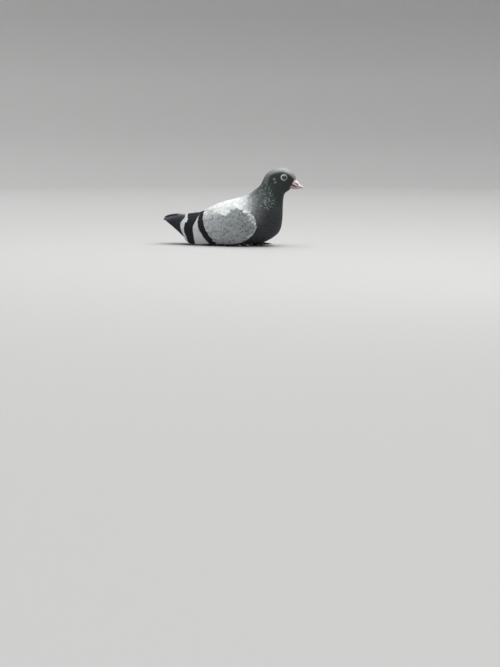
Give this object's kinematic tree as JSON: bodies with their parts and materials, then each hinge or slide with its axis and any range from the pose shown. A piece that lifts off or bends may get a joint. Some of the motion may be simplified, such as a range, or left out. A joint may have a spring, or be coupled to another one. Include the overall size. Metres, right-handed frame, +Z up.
{
  "type": "pigeon",
  "caption": "Life-size still model of a blue-bar pigeon crouching low with folded wings, resting on its belly and feet.",
  "frame": {"origin": "middle of the bounding box, at floor level", "axes": "+X the way the bill points, +Y the bird's left, +Z up"},
  "size_m": [0.2794, 0.1048, 0.1466],
  "materials": {
    "body_plumage": "matte slate feathers",
    "neck_plumage": "dark teal feathers with a green and purple sheen",
    "head_plumage": "matte dark slate feathers",
    "wing_plumage": "pale blue-grey feathers with two black bars",
    "tail_plumage": "dark feathers with a black end band",
    "bill_horn": "pale pinkish horn",
    "cere_skin": "powdery white skin",
    "eye": "wet and dark",
    "eye_skin": "bare pale grey skin",
    "leg_skin": "scaled dark red skin"
  },
  "bodies": {
    "root": {"torso": "body_plumage", "neck": "neck_plumage", "head": "head_plumage", "wing_right": "wing_plumage", "wing_left": "wing_plumage", "tail": "tail_plumage", "bill_upper": "bill_horn", "bill_lower": "bill_horn", "cere": "cere_skin", "eye_right": "eye", "eye_left": "eye", "eyelids_right": "eye_skin", "eyelids_left": "eye_skin", "leg_right": "leg_skin", "leg_left": "leg_skin", "foot_right": "leg_skin", "foot_left": "leg_skin"}
  },
  "joints": []
}
